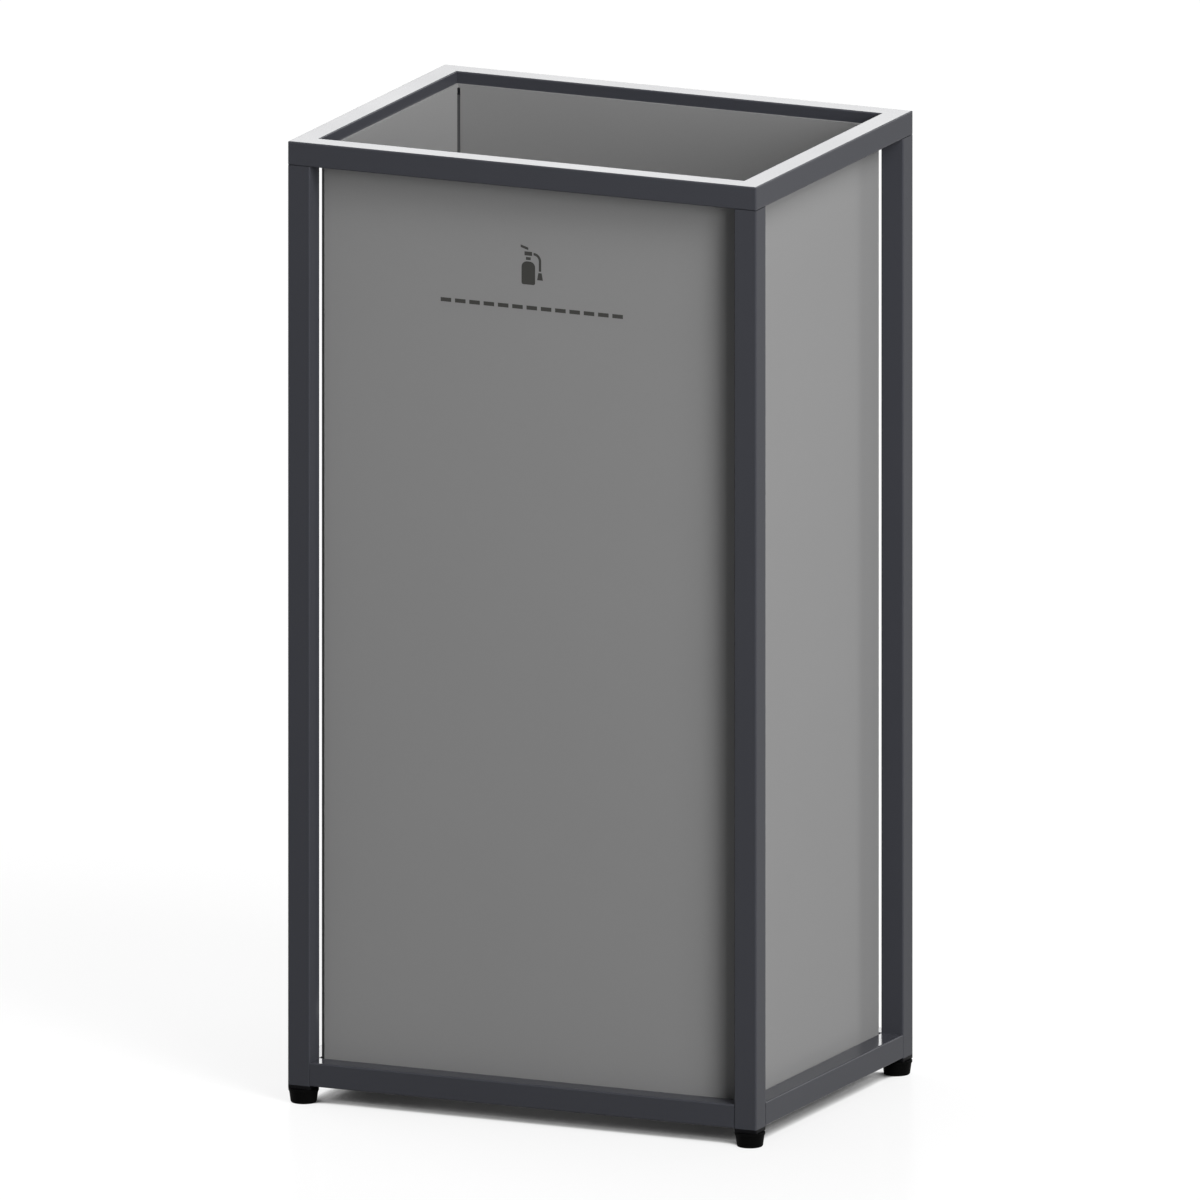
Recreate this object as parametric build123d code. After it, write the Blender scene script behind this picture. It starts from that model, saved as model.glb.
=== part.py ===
from build123d import *

import os

# Freestanding cover for a fire extinguisher: an open sleeve that stands round it and hides it.
#
# Twelve lengths of square steel tube make the frame: a mitred ring at the top, four posts, and four base
# rails between the posts. Four sheet steel panels lie against the inner faces of the rails. They stop short
# of the posts, so a narrow slot stays open beside every post, and meet only at a short tab at the top and
# bottom of each corner. A moulded insert closes the lower end of each post, and a round foot pad is held in
# it by its stud.
#
# X is the width, Y the depth with the front at -Y, and Z is up from the floor. The origin is on the floor,
# under the middle of the cover. Everything is in millimetres.

# The frame.
FRAME_WIDTH = 275.0
FRAME_DEPTH = 205.0
FRAME_HEIGHT = 517.8

# Square steel tube, of one size throughout. The ring's welded corners are ground round.
TUBE = 13.0
TUBE_WALL = 1.2
TUBE_CORNER = 0.8
TUBE_INNER_CORNER = 0.4
RING_CORNER = 0.8

# Sheet steel panels.
SHEET = 1.5
PANEL_TOP_DROP = 6.5
PANEL_BASE_RISE = 6.5
POST_SLOT = 2.5
CORNER_TAB_HEIGHT = 2.0
SHEET_EDGE_ROUND = 0.3

# Moulded insert in the lower end of each post.
COLLAR_HEIGHT = 2.2
COLLAR_EDGE_ROUND = 0.4
INSERT_CORE = 9.2
INSERT_LENGTH = 16.0
INSERT_PLAY = 0.1
INSERT_LEAD_IN = 1.5
FIN_COUNT = 4
FIN_THICKNESS = 0.9
FIN_FIRST_RISE = 2.0
FIN_PITCH = 3.2

# Round foot pad: a rim at the top, a tapered body, and a stud.
PAD_HEIGHT = 8.0
PAD_RIM_DIAMETER = 16.5
PAD_RIM_HEIGHT = 1.6
PAD_RIM_ROUND = 0.4
PAD_WAIST_DIAMETER = 15.7
PAD_FLOOR_DIAMETER = 14.0
PAD_FLOOR_ROUND = 1.0
STUD_DIAMETER = 6.0
STUD_LENGTH = 14.0
STUD_PLAY = 0.1
STUD_CHAMFER = 0.6

# Places that follow from the sizes above.
FRAME_BASE = PAD_HEIGHT + COLLAR_HEIGHT
FRAME_TOP = FRAME_BASE + FRAME_HEIGHT
RING_UNDERSIDE = FRAME_TOP - TUBE
INNER_WIDTH = FRAME_WIDTH - 2 * TUBE
INNER_DEPTH = FRAME_DEPTH - 2 * TUBE
TUBE_CENTRE_X = (FRAME_WIDTH - TUBE) / 2
TUBE_CENTRE_Y = (FRAME_DEPTH - TUBE) / 2
PANEL_BASE = FRAME_BASE + PANEL_BASE_RISE
PANEL_TOP = FRAME_TOP - PANEL_TOP_DROP

SIDES_X = {"left": -1, "right": 1}
SIDES_Y = {"front": -1, "back": 1}


def tube(length):
    """A length of tube standing on the XY plane, centred on the Z axis."""
    bore = TUBE - 2 * TUBE_WALL
    section = RectangleRounded(TUBE, TUBE, TUBE_CORNER)
    section -= RectangleRounded(bore, bore, TUBE_INNER_CORNER)
    return extrude(section, length)


def tube_along_x(length):
    """A length of tube lying along X, centred on the origin."""
    return Pos(-length / 2, 0, 0) * Rot(0, 90, 0) * tube(length)


def mitred_tube(outer_length):
    """A ring tube along X with its outer face at -Y, cut at 45 degrees towards the inside at both ends.

    Each end's outer corner is ground round, and this tube has half of the corner's arc.
    """
    inner = outer_length / 2 - TUBE
    near, far = -TUBE / 2, TUBE / 2
    arc = CenterArc((outer_length / 2 - RING_CORNER, near + RING_CORNER), RING_CORNER, -90, 45)
    outer_edge = Line((0, near), arc @ 0)
    mitre = Line(arc @ 1, (inner, far))
    inner_edge = Line(mitre @ 1, (0, far))
    half = Curve() + [outer_edge, arc, mitre, inner_edge]
    plan = make_face(half + mirror(half, Plane.YZ))
    return tube_along_x(outer_length) & extrude(plan, TUBE / 2, both=True)


def ring_rails():
    """The mitred ring at the top."""
    height = FRAME_TOP - TUBE / 2
    wide, deep = mitred_tube(FRAME_WIDTH), mitred_tube(FRAME_DEPTH)
    return {
        "ring_rail_front": Pos(0, -TUBE_CENTRE_Y, height) * wide,
        "ring_rail_back": Pos(0, TUBE_CENTRE_Y, height) * Rot(0, 0, 180) * wide,
        "ring_rail_left": Pos(-TUBE_CENTRE_X, 0, height) * Rot(0, 0, -90) * deep,
        "ring_rail_right": Pos(TUBE_CENTRE_X, 0, height) * Rot(0, 0, 90) * deep,
    }


def corners():
    """Each corner's name with the place of its post's axis."""
    for y_name, y_sign in SIDES_Y.items():
        for x_name, x_sign in SIDES_X.items():
            yield f"{y_name}_{x_name}", x_sign * TUBE_CENTRE_X, y_sign * TUBE_CENTRE_Y


def posts():
    """Four posts from the inserts' collars up to the underside of the ring."""
    post = tube(RING_UNDERSIDE - FRAME_BASE)
    return {f"post_{name}": Pos(x, y, FRAME_BASE) * post for name, x, y in corners()}


def base_rails():
    """Four rails with square ends, set between the posts."""
    height = FRAME_BASE + TUBE / 2
    wide, deep = tube_along_x(INNER_WIDTH), Rot(0, 0, 90) * tube_along_x(INNER_DEPTH)
    rails = {}
    for name, sign in SIDES_Y.items():
        rails[f"base_rail_{name}"] = Pos(0, sign * TUBE_CENTRE_Y, height) * wide
    for name, sign in SIDES_X.items():
        rails[f"base_rail_{name}"] = Pos(sign * TUBE_CENTRE_X, 0, height) * deep
    return rails


def panel(body_width, tab_span):
    """A sheet panel standing on the XY plane, its back face on XZ and its outer face at -Y."""
    height = PANEL_TOP - PANEL_BASE
    outline = Rectangle(body_width, height)
    for rise in (-1, 1):
        outline += Pos(0, rise * (height - CORNER_TAB_HEIGHT) / 2) * Rectangle(tab_span, CORNER_TAB_HEIGHT)
    sheet = Pos(0, 0, height / 2) * extrude(Plane.XZ * outline, SHEET)
    long_edges = sheet.edges().filter_by(GeomType.LINE).filter_by(Axis.Z)
    body_edges = [edge for edge in long_edges if edge.length > height / 2]
    return fillet(body_edges, SHEET_EDGE_ROUND)


def panels():
    """Four panels against the inner faces of the ring and base rails.

    The front and back panels' tabs reach the corners, and the side panels' tabs butt against them.
    """
    wide = panel(INNER_WIDTH - 2 * POST_SLOT, INNER_WIDTH)
    deep = panel(INNER_DEPTH - 2 * POST_SLOT, INNER_DEPTH - 2 * SHEET)
    x_back, y_back = INNER_WIDTH / 2 - SHEET, INNER_DEPTH / 2 - SHEET
    return {
        "panel_front": Pos(0, -y_back, PANEL_BASE) * wide,
        "panel_back": Pos(0, y_back, PANEL_BASE) * Rot(0, 0, 180) * wide,
        "panel_left": Pos(-x_back, 0, PANEL_BASE) * Rot(0, 0, -90) * deep,
        "panel_right": Pos(x_back, 0, PANEL_BASE) * Rot(0, 0, 90) * deep,
    }


def foot_insert():
    """A moulded insert: a square collar under the tube, and a finned plug in its bore."""
    plug_width = TUBE - 2 * TUBE_WALL - 2 * INSERT_PLAY
    collar = extrude(RectangleRounded(TUBE, TUBE, TUBE_CORNER), COLLAR_HEIGHT)
    collar = fillet(collar.faces().sort_by(Axis.Z)[0].edges(), COLLAR_EDGE_ROUND)
    core = Pos(0, 0, COLLAR_HEIGHT) * extrude(Rectangle(INSERT_CORE, INSERT_CORE), INSERT_LENGTH)
    core = chamfer(core.faces().sort_by(Axis.Z)[-1].edges(), INSERT_LEAD_IN)
    fin = extrude(RectangleRounded(plug_width, plug_width, TUBE_INNER_CORNER), FIN_THICKNESS)
    body = collar + core
    for index in range(FIN_COUNT):
        body += Pos(0, 0, COLLAR_HEIGHT + FIN_FIRST_RISE + index * FIN_PITCH) * fin
    bore = Cylinder(
        STUD_DIAMETER / 2 + STUD_PLAY,
        COLLAR_HEIGHT + INSERT_LENGTH,
        align=(Align.CENTER, Align.CENTER, Align.MIN),
    )
    return body - bore


def foot_pad():
    """A round pad that tapers down from its rim to the floor, with the stud that rises from it."""
    rim, waist, floor = PAD_RIM_DIAMETER / 2, PAD_WAIST_DIAMETER / 2, PAD_FLOOR_DIAMETER / 2
    rim_base = PAD_HEIGHT - PAD_RIM_HEIGHT
    cone = make_face(Polyline((0, 0), (floor, 0), (waist, rim_base), (0, rim_base), close=True))
    body = revolve(Plane.XZ * cone, Axis.Z)
    body = fillet(body.edges().sort_by(Axis.Z)[0], PAD_FLOOR_ROUND)
    disc = Pos(0, 0, rim_base) * extrude(Circle(rim), PAD_RIM_HEIGHT)
    disc = fillet(disc.edges().filter_by(GeomType.CIRCLE), PAD_RIM_ROUND)
    shank = Pos(0, 0, PAD_HEIGHT) * extrude(Circle(STUD_DIAMETER / 2), STUD_LENGTH)
    shank = chamfer(shank.faces().sort_by(Axis.Z)[-1].edges(), STUD_CHAMFER)
    return body + disc + shank


def feet():
    """An insert and a pad under each post."""
    insert, pad = foot_insert(), foot_pad()
    made = {}
    for name, x, y in corners():
        made[f"foot_insert_{name}"] = Pos(x, y, PAD_HEIGHT) * insert
        made[f"foot_pad_{name}"] = Pos(x, y, 0) * pad
    return made


def main():
    os.makedirs("parts", exist_ok=True)
    for name, shape in {**ring_rails(), **posts(), **base_rails(), **panels(), **feet()}.items():
        export_step(shape, f"parts/{name}.step")


main()
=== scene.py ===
# %% [markdown]
# # A cover that hides a fire extinguisher
#
# This lesson dresses one finished CAD model. The model is a sleeve of square steel tube and sheet steel
# that stands round a fire extinguisher on four small feet. Its shapes are done, so what is left for Blender
# is what the eye takes from a surface: paint, plastic, rubber, printing and light.
#
# The first cell loads the model. Every tube, panel and foot arrives as an object at the origin, with its
# place in its mesh. The size of the whole is kept.

# %% Load the model
import math

import bmesh
import bpy
from mathutils import Matrix, Vector


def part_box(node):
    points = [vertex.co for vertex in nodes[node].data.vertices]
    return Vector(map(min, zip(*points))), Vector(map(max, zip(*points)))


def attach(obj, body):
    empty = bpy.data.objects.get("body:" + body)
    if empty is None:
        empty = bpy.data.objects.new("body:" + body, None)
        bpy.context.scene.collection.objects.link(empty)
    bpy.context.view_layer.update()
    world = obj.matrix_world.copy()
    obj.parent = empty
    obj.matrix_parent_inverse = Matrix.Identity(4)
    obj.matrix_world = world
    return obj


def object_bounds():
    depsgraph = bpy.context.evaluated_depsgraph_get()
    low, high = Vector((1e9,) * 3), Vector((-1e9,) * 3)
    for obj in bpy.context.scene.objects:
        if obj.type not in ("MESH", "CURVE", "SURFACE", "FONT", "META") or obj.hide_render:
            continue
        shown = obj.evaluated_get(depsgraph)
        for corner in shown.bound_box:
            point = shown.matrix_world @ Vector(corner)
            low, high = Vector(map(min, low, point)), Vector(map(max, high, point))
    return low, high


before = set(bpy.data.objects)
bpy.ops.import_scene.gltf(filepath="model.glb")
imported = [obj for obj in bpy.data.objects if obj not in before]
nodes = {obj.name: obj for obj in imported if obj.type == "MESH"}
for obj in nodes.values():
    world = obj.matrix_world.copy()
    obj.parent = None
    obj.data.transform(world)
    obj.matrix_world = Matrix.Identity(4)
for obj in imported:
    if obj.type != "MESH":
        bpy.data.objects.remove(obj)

cad_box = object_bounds()
print("pieces:", len(nodes), "box:", cad_box)

# %% [markdown]
# ## The camera
#
# The product picture has no perspective: lines that are parallel on the cover stay parallel in the picture.
# A perspective camera can only come near that from far away. An orthographic one does it exactly, and its
# one size is the width of the world that fills the picture.
#
# Two slopes give the direction. Across the picture, the top front edge falls by 0.0992 of its run and the
# top right edge rises by 0.4907 of its run. Their product is the squared sine of the camera's height angle,
# and their ratio is the squared tangent of its angle to the side. One known point then fixes the rest: the
# pixel where the rim's front left corner lies.

# %% Set up the camera
PICTURE_SIDE = 1200
METRE_PER_PIXEL = 0.0005355
CORNER_PIXEL = (287.65, 141.2)
FRONT_SLOPE = 0.0992
SIDE_SLOPE = 0.4907
CAMERA_DISTANCE = 3.0

height_angle = math.asin(math.sqrt(FRONT_SLOPE * SIDE_SLOPE))
side_angle = math.atan(math.sqrt(FRONT_SLOPE / SIDE_SLOPE))
sin_side, cos_side = math.sin(side_angle), math.cos(side_angle)
sin_height, cos_height = math.sin(height_angle), math.cos(height_angle)
right = Vector((cos_side, sin_side, 0))
up = Vector((-sin_side * sin_height, cos_side * sin_height, cos_height))
forward = Vector((-sin_side * cos_height, cos_side * cos_height, -sin_height))

corner = Vector((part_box("ring_rail_left")[0].x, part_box("ring_rail_front")[0].y, cad_box[1].z))
across = corner.dot(right) + (PICTURE_SIDE / 2 - CORNER_PIXEL[0]) * METRE_PER_PIXEL
upward = corner.dot(up) + (CORNER_PIXEL[1] - PICTURE_SIDE / 2) * METRE_PER_PIXEL

camera_data = bpy.data.cameras.new("camera")
camera_data.type = "ORTHO"
camera_data.ortho_scale = PICTURE_SIDE * METRE_PER_PIXEL
camera = bpy.data.objects.new("camera", camera_data)
bpy.context.scene.collection.objects.link(camera)
camera.location = right * across + up * upward - forward * (CAMERA_DISTANCE - forward.dot(corner))
camera.rotation_euler = forward.to_track_quat("-Z", "Y").to_euler()
bpy.context.scene.camera = camera
print("camera angles:", round(math.degrees(side_angle), 2), round(math.degrees(height_angle), 2))

# %% [markdown]
# ## A few small helpers
#
# Paint makers and screens give colours as sRGB hex values, but a shader works in linear light, so one
# function turns the first into the second. Another adds a node to a tree, with its settings, and either
# sets or links each of its inputs. Two short ones start a material and run a colour from dark to light.
# With these, a material reads as a list of what it is made of.

# %% Colour and node helpers
def linear(hex_colour):
    """An sRGB hex colour as linear RGBA."""
    channels = [int(hex_colour[i:i + 2], 16) / 255 for i in (1, 3, 5)]
    return [c / 12.92 if c <= 0.04045 else ((c + 0.055) / 1.055) ** 2.4 for c in channels] + [1.0]


def add_node(tree, kind, inputs, **settings):
    """Adds a node. Each input goes by its name or number, and takes a plain value or another socket."""
    node = tree.nodes.new(kind)
    for name, value in settings.items():
        setattr(node, name, value)
    for key, value in inputs.items():
        if isinstance(value, bpy.types.NodeSocket):
            tree.links.new(value, node.inputs[key])
        else:
            node.inputs[key].default_value = value
    return node


def new_material(name):
    """An empty material and its node tree."""
    material = bpy.data.materials.new(name)
    material.use_nodes = True
    material.node_tree.nodes.clear()
    return material, material.node_tree


def blend_colours(tree, share, dark, light):
    """A colour that runs from dark to light with the share."""
    mix = add_node(tree, "ShaderNodeMix", {"Factor": share}, data_type="RGBA")
    mix.inputs[6].default_value, mix.inputs[7].default_value = linear(dark), linear(light)
    return mix.outputs[2]


print("mid grey #808080 is", round(linear("#808080")[0], 3), "in linear light")

# %% [markdown]
# ## The paint on the steel
#
# Both the tubes and the panels are powder coated: dry paint dust is charged, clings to the steel, and melts
# in an oven into a skin less than a tenth of a millimetre thick. It never flows quite flat, so it keeps a
# soft ripple a few millimetres across, which painters call orange peel. The eye gets an even colour with a
# soft sheen. It isn't metallic: all its gloss is the clear reflection of a resin, weak face on and strong
# at a glance.
#
# A bump map is enough for a ripple that is a hundredth of a millimetre high. Three layers of noise are
# used, each with a real size: the ripple, a tight grain, and a slow drift in tone and gloss over a hand's
# width.

# %% Powder coat
MM = 0.001
DRIFT_WIDTH = 90 * MM
PEEL_WIDTH = 2.4 * MM
PEEL_HEIGHT = 0.008 * MM
GRAIN_WIDTH = 0.9 * MM
GRAIN_HEIGHT = 0.002 * MM
NOISE_LOW, NOISE_HIGH = 0.3, 0.7
SHEEN_SPREAD = 0.02
RESIN_IOR = 1.5


def powder_coat(name, dark, light, roughness, gloss):
    """A baked powder paint. Its colour and its sheen drift slightly over a hand's width."""
    material, tree = new_material(name)
    place = add_node(tree, "ShaderNodeTexCoord", {}).outputs["Object"]
    drift = add_node(tree, "ShaderNodeTexNoise", {"Vector": place, "Scale": 1 / DRIFT_WIDTH, "Detail": 2.0})
    peel = add_node(tree, "ShaderNodeTexNoise", {"Vector": place, "Scale": 1 / PEEL_WIDTH, "Detail": 1.0})
    grain = add_node(tree, "ShaderNodeTexNoise", {"Vector": place, "Scale": 1 / GRAIN_WIDTH, "Detail": 2.0})
    sheen = add_node(tree, "ShaderNodeMapRange", {
        "Value": drift.outputs["Fac"],
        "From Min": NOISE_LOW, "From Max": NOISE_HIGH,
        "To Min": roughness - SHEEN_SPREAD, "To Max": roughness + SHEEN_SPREAD,
    })
    ripple = add_node(tree, "ShaderNodeBump", {"Height": peel.outputs["Fac"], "Distance": PEEL_HEIGHT})
    skin = add_node(tree, "ShaderNodeBump", {
        "Height": grain.outputs["Fac"], "Distance": GRAIN_HEIGHT, "Normal": ripple.outputs["Normal"],
    })
    shader = add_node(tree, "ShaderNodeBsdfPrincipled", {
        "Base Color": blend_colours(tree, drift.outputs["Fac"], dark, light),
        "Roughness": sheen.outputs["Result"], "Normal": skin.outputs["Normal"],
        "IOR": RESIN_IOR, "Specular IOR Level": gloss,
    })
    add_node(tree, "ShaderNodeOutputMaterial", {"Surface": shader.outputs["BSDF"]})
    return material


tube_paint = powder_coat("powder_coat_anthracite", "#36373C", "#38393E", roughness=0.16, gloss=0.06)
panel_paint = powder_coat("powder_coat_mid_grey", "#7B7B7B", "#7D7D7D", roughness=0.16, gloss=0.06)
print("paints:", tube_paint.name, panel_paint.name)

# %% [markdown]
# ## The plastic and rubber of the feet
#
# The insert in each post's end is moulded polyethylene and the pad under it is moulded rubber, both
# coloured black right through. A mould is etched or blasted so that marks don't show, and leaves a fine,
# even grain. Plastic keeps a little more shine than rubber. The real grain is about a fifth of a
# millimetre, too fine for a picture of the whole cover, so it is drawn at half a millimetre.

# %% Moulded black
MOULD_GRAIN_WIDTH = 0.5 * MM
MOULD_GRAIN_HEIGHT = 0.02 * MM


def moulded_black(name, dark, light, roughness, gloss):
    """A black plastic or rubber with the even grain of its mould."""
    material, tree = new_material(name)
    place = add_node(tree, "ShaderNodeTexCoord", {}).outputs["Object"]
    grain = add_node(tree, "ShaderNodeTexNoise", {
        "Vector": place, "Scale": 1 / MOULD_GRAIN_WIDTH, "Detail": 3.0,
    })
    skin = add_node(tree, "ShaderNodeBump", {
        "Height": grain.outputs["Fac"], "Distance": MOULD_GRAIN_HEIGHT,
    })
    shader = add_node(tree, "ShaderNodeBsdfPrincipled", {
        "Base Color": blend_colours(tree, grain.outputs["Fac"], dark, light),
        "Roughness": roughness, "Normal": skin.outputs["Normal"],
        "IOR": RESIN_IOR, "Specular IOR Level": gloss,
    })
    add_node(tree, "ShaderNodeOutputMaterial", {"Surface": shader.outputs["BSDF"]})
    return material


insert_plastic = moulded_black("moulded_polyethylene", "#070708", "#0A0A0C", roughness=0.45, gloss=0.04)
pad_rubber = moulded_black("moulded_rubber", "#040404", "#070707", roughness=0.6, gloss=0.02)
print("moulded:", insert_plastic.name, pad_rubber.name)

# %% [markdown]
# ## Dress the model
#
# The name of each piece says what it is, so one table sends each piece to its finish. Only the material
# slots change: the shapes are the model's own.

# %% Give every piece its finish
FINISHES = {
    "ring_rail": tube_paint,
    "post": tube_paint,
    "base_rail": tube_paint,
    "panel": panel_paint,
    "foot_insert": insert_plastic,
    "foot_pad": pad_rubber,
}
for name, piece in nodes.items():
    finish = next(material for start, material in FINISHES.items() if name.startswith(start))
    for material_slot in piece.material_slots:
        material_slot.material = finish
    print(name, "is", finish.name)

# %% [markdown]
# ## The ink
#
# The front panel is screen printed: ink is pushed through a fine mesh and dries to a film a few hundredths
# of a millimetre thick. Its edges are sharp, it is duller than the paint under it, and the mesh leaves a
# faint grain. The film is real geometry here, so that the print is also there in the exported meshes. Half
# of its thickness is sunk into the panel, so that no two faces lie in one plane.

# %% Screen ink
INK = 0.06 * MM
SCREEN_MESH_WIDTH = 0.4 * MM


def screen_ink(name, dark, light, roughness, gloss):
    """A dried film of printing ink, with the faint grain of the mesh it came through."""
    material, tree = new_material(name)
    place = add_node(tree, "ShaderNodeTexCoord", {}).outputs["Object"]
    grain = add_node(tree, "ShaderNodeTexNoise", {
        "Vector": place, "Scale": 1 / SCREEN_MESH_WIDTH, "Detail": 2.0,
    })
    skin = add_node(tree, "ShaderNodeBump", {"Height": grain.outputs["Fac"], "Distance": GRAIN_HEIGHT})
    shader = add_node(tree, "ShaderNodeBsdfPrincipled", {
        "Base Color": blend_colours(tree, grain.outputs["Fac"], dark, light),
        "Roughness": roughness, "Normal": skin.outputs["Normal"],
        "IOR": RESIN_IOR, "Specular IOR Level": gloss,
    })
    add_node(tree, "ShaderNodeOutputMaterial", {"Surface": shader.outputs["BSDF"]})
    return material


ink = screen_ink("screen_ink_charcoal", "#363634", "#3A3A38", roughness=0.5, gloss=0.07)
panel_low, panel_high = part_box("panel_front")
panel_middle = (panel_low.x + panel_high.x) / 2
print("printed face at y =", round(panel_low.y / MM, 2), "mm")

# %% [markdown]
# ## The printed sign
#
# The sign is a plain picture of what stands behind the panel, drawn as a stencil: a cylinder, its neck, its
# valve, a lever, and a hose with its nozzle. A stencil has narrow bridges between its parts, which also
# means that no two patches of ink overlap. Each part is an outline in millimetres about the middle of the
# sign. Straight parts need only their corners, and round stretches come from one small arc function.

# %% Outlines of the sign
SIGN_BELOW_RIM = 58 * MM
BODY_LEFT, BODY_RIGHT, BODY_BASE, BODY_TOP = -5.5, 2.5, -10.6, 2.1
SHOULDER, BODY_HEEL = 3.2, 1.1
BRIDGE = 0.8
NECK_WIDTH, NECK_HEIGHT = 2.8, 1.6
VALVE_WIDTH, VALVE_HEIGHT = 4.5, 2.2
LEVER_LENGTH, LEVER_RISE, LEVER_THICKNESS = 4.5, 1.4, 1.4
HOSE_WIDTH, HOSE_BEND, HOSE_DROP = 1.4, 3.8, 5.5
NOZZLE_HEIGHT, NOZZLE_TOP, NOZZLE_MOUTH = 4.0, 1.9, 3.4


def arc(x, z, radius, start, end, steps=8):
    """Points on an arc from one angle to another, in degrees."""
    angles = [math.radians(start + (end - start) * step / steps) for step in range(steps + 1)]
    return [(x + radius * math.cos(angle), z + radius * math.sin(angle)) for angle in angles]


def block(left, base, width, height):
    """The corners of a rectangle, anticlockwise from its lower left one."""
    return [(left, base), (left + width, base), (left + width, base + height), (left, base + height)]


def sign_outlines():
    """The outlines of the sign's parts, each running anticlockwise as seen from the front."""
    body = arc(BODY_LEFT + BODY_HEEL, BODY_BASE + BODY_HEEL, BODY_HEEL, 180, 270)
    body += arc(BODY_RIGHT - BODY_HEEL, BODY_BASE + BODY_HEEL, BODY_HEEL, 270, 360)
    body += arc(BODY_RIGHT - SHOULDER, BODY_TOP - SHOULDER, SHOULDER, 0, 90)
    body += arc(BODY_LEFT + SHOULDER, BODY_TOP - SHOULDER, SHOULDER, 90, 180)
    axis = (BODY_LEFT + BODY_RIGHT) / 2
    neck_base = BODY_TOP + BRIDGE
    neck = block(axis - NECK_WIDTH / 2, neck_base, NECK_WIDTH, NECK_HEIGHT)
    valve_base = neck_base + NECK_HEIGHT + BRIDGE
    valve = block(axis - VALVE_WIDTH / 2, valve_base, VALVE_WIDTH, VALVE_HEIGHT)
    lever_base = valve_base + VALVE_HEIGHT + BRIDGE
    lever_end = axis - LEVER_LENGTH
    lever = [
        (axis, lever_base), (axis, lever_base + LEVER_THICKNESS),
        (lever_end, lever_base + LEVER_THICKNESS + LEVER_RISE), (lever_end, lever_base + LEVER_RISE),
    ]
    bend_x = axis + VALVE_WIDTH / 2 + BRIDGE
    bend_z = valve_base + VALVE_HEIGHT / 2 - HOSE_BEND
    hose_x, hose_end = bend_x + HOSE_BEND, bend_z - HOSE_DROP
    hose = arc(bend_x, bend_z, HOSE_BEND - HOSE_WIDTH / 2, 90, 0)
    hose += [(hose_x - HOSE_WIDTH / 2, hose_end), (hose_x + HOSE_WIDTH / 2, hose_end)]
    hose += arc(bend_x, bend_z, HOSE_BEND + HOSE_WIDTH / 2, 0, 90)
    mouth = hose_end - BRIDGE - NOZZLE_HEIGHT
    nozzle = [
        (hose_x - NOZZLE_MOUTH / 2, mouth), (hose_x + NOZZLE_MOUTH / 2, mouth),
        (hose_x + NOZZLE_TOP / 2, mouth + NOZZLE_HEIGHT), (hose_x - NOZZLE_TOP / 2, mouth + NOZZLE_HEIGHT),
    ]
    return [body, neck, valve, lever, hose, nozzle]


outlines = sign_outlines()
sign_left, sign_right = [limit(x for outline in outlines for x, z in outline) for limit in (min, max)]
sign_low, sign_high = [limit(z for outline in outlines for x, z in outline) for limit in (min, max)]
print("sign:", round(sign_right - sign_left, 1), "by", round(sign_high - sign_low, 1), "mm")

# %% [markdown]
# Each outline becomes a thin block: a face in front, one behind it, and a side along each edge. An extrude
# tool makes the same block, but it may number the sides differently each time. Made one by one, they come
# out the same in every run. The middle of the whole sign is halfway between its outermost points, so it
# stays centred on the panel if a part of it changes.

# %% Print the sign
def finished_piece(name, mesh, material):
    """An object at the origin that wears one material and rides with the cover."""
    mesh.materials.clear()
    mesh.materials.append(material)
    piece = bpy.data.objects.new(name, mesh)
    bpy.context.scene.collection.objects.link(piece)
    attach(piece, "root")
    return piece


middle_x, middle_z = (sign_left + sign_right) / 2, (sign_low + sign_high) / 2
sign_y = panel_low.y - INK / 2
sign_z = cad_box[1].z - SIGN_BELOW_RIM

shape = bmesh.new()
for outline in outlines:
    places = [(panel_middle + (x - middle_x) * MM, sign_z + (z - middle_z) * MM) for x, z in outline]
    front = [shape.verts.new((x, sign_y, z)) for x, z in places]
    back = [shape.verts.new((x, sign_y + INK, z)) for x, z in places]
    shape.faces.new(front)
    shape.faces.new(back[::-1])
    for index in range(len(outline)):
        shape.faces.new((front[index - 1], back[index - 1], back[index], front[index]))
mesh = bpy.data.meshes.new("printed_sign")
shape.to_mesh(mesh)
shape.free()
sign = finished_piece("printed_sign", mesh, ink)
print("sign faces:", len(sign.data.polygons))

# %% [markdown]
# ## The dashed line under the sign
#
# A dashed line is one dash repeated at an even pitch, which is what Geometry Nodes do well: a line of
# points, a dash on each, and then the instances made real so that an exporter sees them. The sizes are
# named inputs of the tree, so another line can be made from the same tree with other numbers.

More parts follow.
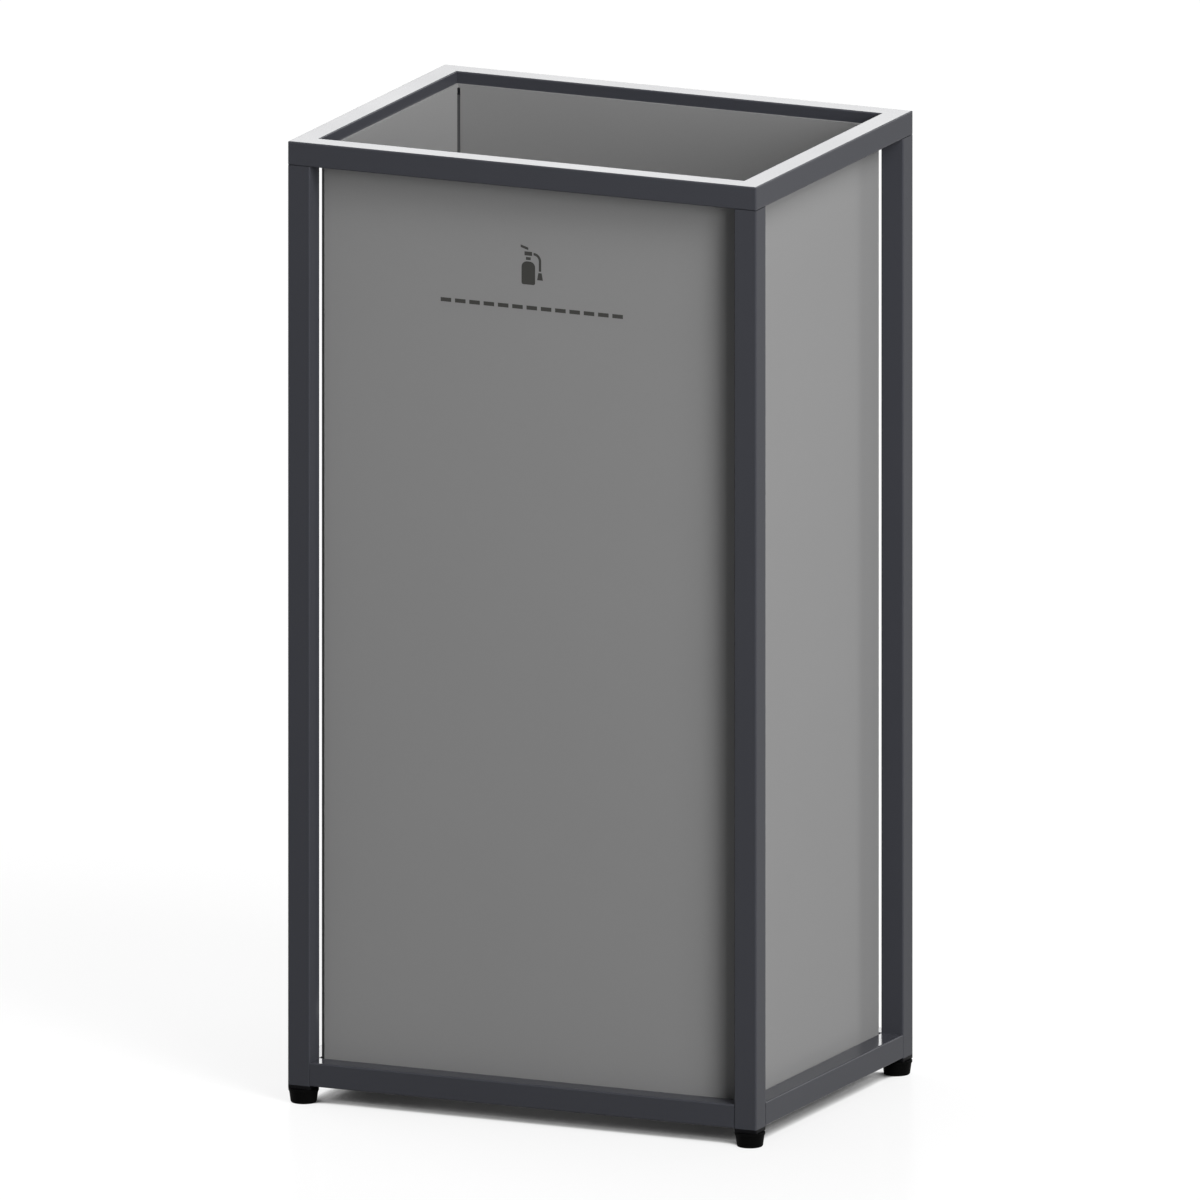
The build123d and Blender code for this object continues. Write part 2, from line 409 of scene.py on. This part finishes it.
# %% Build the tree for a dashed line
def dashed_line_tree():
    """A tree that makes a row of equal dashes along X, with its middle at the origin."""
    tree = bpy.data.node_groups.new("dashed_line", "GeometryNodeTree")
    tree.interface.new_socket("Dashes", in_out="INPUT", socket_type="NodeSocketInt")
    for name in ("Pitch", "Length", "Height", "Thickness"):
        tree.interface.new_socket(name, in_out="INPUT", socket_type="NodeSocketFloat")
    tree.interface.new_socket("Material", in_out="INPUT", socket_type="NodeSocketMaterial")
    tree.interface.new_socket("Geometry", in_out="OUTPUT", socket_type="NodeSocketGeometry")
    sizes = add_node(tree, "NodeGroupInput", {}).outputs
    spaces = add_node(tree, "ShaderNodeMath", {0: sizes["Dashes"], 1: 1.0}, operation="SUBTRACT")
    run = add_node(tree, "ShaderNodeMath", {0: spaces.outputs[0], 1: sizes["Pitch"]}, operation="MULTIPLY")
    start = add_node(tree, "ShaderNodeMath", {0: run.outputs[0], 1: -0.5}, operation="MULTIPLY")
    first = add_node(tree, "ShaderNodeCombineXYZ", {"X": start.outputs[0]})
    step = add_node(tree, "ShaderNodeCombineXYZ", {"X": sizes["Pitch"]})
    size = add_node(tree, "ShaderNodeCombineXYZ", {
        "X": sizes["Length"], "Y": sizes["Thickness"], "Z": sizes["Height"],
    })
    points = add_node(tree, "GeometryNodeMeshLine", {
        "Count": sizes["Dashes"], "Start Location": first.outputs[0], "Offset": step.outputs[0],
    })
    dash = add_node(tree, "GeometryNodeMeshCube", {"Size": size.outputs[0]})
    row = add_node(tree, "GeometryNodeInstanceOnPoints", {
        "Points": points.outputs["Mesh"], "Instance": dash.outputs["Mesh"],
    })
    real = add_node(tree, "GeometryNodeRealizeInstances", {"Geometry": row.outputs["Instances"]})
    inked = add_node(tree, "GeometryNodeSetMaterial", {
        "Geometry": real.outputs["Geometry"], "Material": sizes["Material"],
    })
    add_node(tree, "NodeGroupOutput", {"Geometry": inked.outputs["Geometry"]})
    return tree


dashed_line = dashed_line_tree()
print("nodes in the tree:", len(dashed_line.nodes))

# %% [markdown]
# A modifier runs the tree. Its inputs are set by their identifiers before anything is evaluated. The result
# is then read back as a plain mesh, moved to its place on the panel, and the carrier is thrown away with
# its modifier.

# %% Print the dashed line
LINE_BELOW_RIM = 81.5 * MM
LINE_SIZES = {"Dashes": 13, "Pitch": 8.4 * MM, "Length": 6.2 * MM, "Height": 2.2 * MM, "Thickness": INK}

carrier = bpy.data.objects.new("dashed_line_carrier", bpy.data.meshes.new("dashed_line_carrier"))
bpy.context.scene.collection.objects.link(carrier)
modifier = carrier.modifiers.new("dashes", "NODES")
modifier.node_group = dashed_line
for item in dashed_line.interface.items_tree:
    if item.in_out == "INPUT":
        modifier[item.identifier] = {**LINE_SIZES, "Material": ink}[item.name]
evaluated = carrier.evaluated_get(bpy.context.evaluated_depsgraph_get())
mesh = bpy.data.meshes.new_from_object(evaluated)
carrier.modifiers.remove(modifier)
bpy.data.objects.remove(carrier)
mesh.transform(Matrix.Translation((panel_middle, panel_low.y, cad_box[1].z - LINE_BELOW_RIM)))
mesh.name = "printed_line"
line = finished_piece("printed_line", mesh, ink)
print("line faces:", len(line.data.polygons))

# %% [markdown]
# ## The floor
#
# A product picture stands on paper that is lit until it is white. Here the floor does two jobs. What the
# camera and the reflections see is mostly a plain white glow, with the lamps' soft shadow laid over it and
# a faint mirror image. What lights the cover from below is an ordinary grey surface, so that the white
# picture doesn't flood the object with light.
#
# The dark contact under the cover is painted shadow: the white glow is dimmed by how open each point of the
# floor is to the sky. That takes many rays to find, so it is only asked for within a quarter of a metre of
# the middle. The lamps' own shadow is kept near the cover and fades into plain white further out.

# %% Make the white paper
CONTACT_REACH, CONTACT_DISTANCE, CONTACT_SAMPLES = 0.25, 0.6, 64
OPENNESS_DARK, OPENNESS_WHITE = 0.1, 0.27
FADE_START, FADE_END, GLOW_NEAR = 0.4, 1.2, 0.8
MIRROR_SHARE, MIRROR_ROUGHNESS = 0.012, 0.2
SHADOWED_PAPER, LIGHTING_PAPER = "#D6D6D6", "#8E8E8E"


def seen_directly(tree):
    """One for rays from the camera, a reflection or clear material, and zero for rays that light things."""
    rays = add_node(tree, "ShaderNodeLightPath", {}).outputs
    pair = add_node(tree, "ShaderNodeMath", {
        0: rays["Is Camera Ray"], 1: rays["Is Glossy Ray"],
    }, operation="MAXIMUM")
    return add_node(tree, "ShaderNodeMath", {
        0: pair.outputs[0], 1: rays["Is Transmission Ray"],
    }, operation="MAXIMUM").outputs[0]


def mix_shaders(tree, share, first, second):
    """The first shader at a share of 0 and the second at 1."""
    return add_node(tree, "ShaderNodeMixShader", {"Fac": share, 1: first, 2: second}).outputs[0]


def white_paper():
    """Paper that is white to look at, with a painted contact shadow and the lamps' shadow, and grey in the
    light it throws back.
    """
    material, tree = new_material("white_paper")
    place = add_node(tree, "ShaderNodeTexCoord", {}).outputs["Object"]
    away = add_node(tree, "ShaderNodeVectorMath", {0: place}, operation="LENGTH")
    openness = add_node(tree, "ShaderNodeAmbientOcclusion", {
        "Distance": CONTACT_DISTANCE,
    }, samples=CONTACT_SAMPLES)
    # Painted shadow: the white glow is dimmed where the cover hems the floor in.
    painted_shadow_strength = add_node(tree, "ShaderNodeMapRange", {
        "Value": openness.outputs["AO"], "From Min": OPENNESS_DARK, "From Max": OPENNESS_WHITE,
    }, interpolation_type="SMOOTHSTEP")
    white = add_node(tree, "ShaderNodeEmission", {})
    contact = add_node(tree, "ShaderNodeEmission", {"Strength": painted_shadow_strength.outputs["Result"]})
    near = add_node(tree, "ShaderNodeMath", {
        0: away.outputs["Value"], 1: CONTACT_REACH,
    }, operation="LESS_THAN")
    glow = mix_shaders(tree, near.outputs[0], white.outputs[0], contact.outputs[0])
    lit = add_node(tree, "ShaderNodeBsdfDiffuse", {"Color": linear(SHADOWED_PAPER)})
    glow_share = add_node(tree, "ShaderNodeMapRange", {
        "Value": away.outputs["Value"], "From Min": FADE_START, "From Max": FADE_END,
        "To Min": GLOW_NEAR, "To Max": 1.0,
    }, interpolation_type="SMOOTHSTEP")
    shaded = mix_shaders(tree, glow_share.outputs["Result"], lit.outputs[0], glow)
    mirror = add_node(tree, "ShaderNodeBsdfGlossy", {"Roughness": MIRROR_ROUGHNESS})
    polished = mix_shaders(tree, MIRROR_SHARE, shaded, mirror.outputs[0])
    plain = add_node(tree, "ShaderNodeBsdfDiffuse", {"Color": linear(LIGHTING_PAPER)})
    either = mix_shaders(tree, seen_directly(tree), plain.outputs[0], polished)
    add_node(tree, "ShaderNodeOutputMaterial", {"Surface": either})
    return material


paper = white_paper()
print("nodes in the paper:", len(paper.node_tree.nodes))

# %% Lay the floor
FLOOR_RADIUS = 6.0

mesh = bpy.data.meshes.new("floor")
shape = bmesh.new()
bmesh.ops.create_circle(shape, cap_ends=True, segments=64, radius=FLOOR_RADIUS)
shape.to_mesh(mesh)
shape.free()
mesh.materials.append(paper)
floor = bpy.data.objects.new("floor", mesh)
bpy.context.scene.collection.objects.link(floor)
print("floor radius:", FLOOR_RADIUS, "m")

# %% [markdown]
# ## The lamps
#
# The shadows on the cover say where its lamps were. The front right post darkens the front panel for twice
# its own depth, so the main light stands to the right of the camera. The shadow under the ring is soft and
# leans the same way, so that light is tall too. It is made of two soft boxes, one over the other, because
# the upper part stands further to the right. A box overhead lifts the tops of the base rails, and two boxes
# behind the cover keep the far sides from going black.
#
# A lamp's radiance is how bright it looks, where 1 is a white page. Its power follows from that and its
# size.

# %% Set the lamps
def soft_box(name, place, back, width, height, radiance):
    """A rectangular lamp, as bright from any side. Back is the way that its rear faces."""
    data = bpy.data.lights.new(name, "AREA")
    data.shape = "RECTANGLE"
    data.size, data.size_y = width, height
    data.energy = radiance * math.pi * width * height
    lamp = bpy.data.objects.new(name, data)
    lamp.location = place
    lamp.rotation_euler = back.to_track_quat("Z", "Y").to_euler()
    lamp.visible_camera = lamp.visible_glossy = False
    bpy.context.scene.collection.objects.link(lamp)
    print(name, "at", [round(part, 2) for part in place])


def upright_box(name, azimuth, distance, width, low, high, radiance):
    """A soft box that faces the cover. Its azimuth is in degrees: 0 is in front, and 90 is to the right."""
    turn = math.radians(azimuth)
    back = Vector((math.sin(turn), -math.cos(turn), 0))
    place = back * distance + Vector((0, 0, (low + high) / 2))
    soft_box(name, place, back, width, high - low, radiance)


UPRIGHT_BOXES = {
    "lower_box": dict(azimuth=50.5, distance=3.0, width=1.3, low=0.5, high=2.0, radiance=13.0),
    "upper_box": dict(azimuth=60, distance=3.0, width=1.3, low=2.0, high=5.0, radiance=16.8),
    "back_box": dict(azimuth=204, distance=2.3, width=2.0, low=0.45, high=1.65, radiance=3.55),
    "left_box": dict(azimuth=250, distance=2.1, width=1.4, low=0.8, high=2.1, radiance=6.0),
}
for name, values in UPRIGHT_BOXES.items():
    upright_box(name, **values)
soft_box("top_box", place=Vector((0, 0, 3.0)), back=Vector((0, 0, 1)), width=1.2, height=1.2, radiance=8.0)

# %% [markdown]
# ## The sky
#
# The sky is plain white to the camera and throws a dim even light on the cover. The ring's top asks for one
# thing more. It is nearly white although its paint is nearly black, because at a glance the paint is a
# mirror. What it mirrors is a pale band on the studio's wall, a little above the level. The sky draws that
# band for reflections alone, all the way round, so that the ring looks the same from every side, and the
# lamps are hidden from reflections. The height of a direction is its Z part: 0 is level, and 0.22 is as
# high as the camera looks down.

# %% Set the sky
SKY_LIGHT = 0.1
BAND_BRIGHTNESS = 5.25
BAND_START, BAND_LOW, BAND_HIGH, BAND_END = 0.11, 0.22, 0.28, 0.42

world = bpy.data.worlds.new("studio")
world.use_nodes = True
world.node_tree.nodes.clear()
tree = world.node_tree
even = add_node(tree, "ShaderNodeMapRange", {
    "Value": seen_directly(tree), "To Min": SKY_LIGHT, "To Max": 1.0,
})
direction = add_node(tree, "ShaderNodeTexCoord", {}).outputs["Generated"]
height = add_node(tree, "ShaderNodeSeparateXYZ", {"Vector": direction}).outputs["Z"]
rise = add_node(tree, "ShaderNodeMapRange", {
    "Value": height, "From Min": BAND_START, "From Max": BAND_LOW,
    "To Min": 1.0, "To Max": BAND_BRIGHTNESS,
})
fall = add_node(tree, "ShaderNodeMapRange", {
    "Value": height, "From Min": BAND_HIGH, "From Max": BAND_END,
    "To Min": 1.0, "To Max": 1 / BAND_BRIGHTNESS,
})
band = add_node(tree, "ShaderNodeMath", {0: rise.outputs[0], 1: fall.outputs[0]}, operation="MULTIPLY")
mirrored = add_node(tree, "ShaderNodeLightPath", {}).outputs["Is Glossy Ray"]
strength = add_node(tree, "ShaderNodeMix", {0: mirrored, 2: even.outputs[0], 3: band.outputs[0]})
sky = add_node(tree, "ShaderNodeBackground", {
    "Color": (1.0, 1.0, 1.0, 1.0), "Strength": strength.outputs[0],
})
add_node(tree, "ShaderNodeOutputWorld", {"Surface": sky.outputs[0]})
bpy.context.scene.world = world
bpy.context.scene.view_settings.view_transform = "Standard"
print("nodes in the sky:", len(tree.nodes))
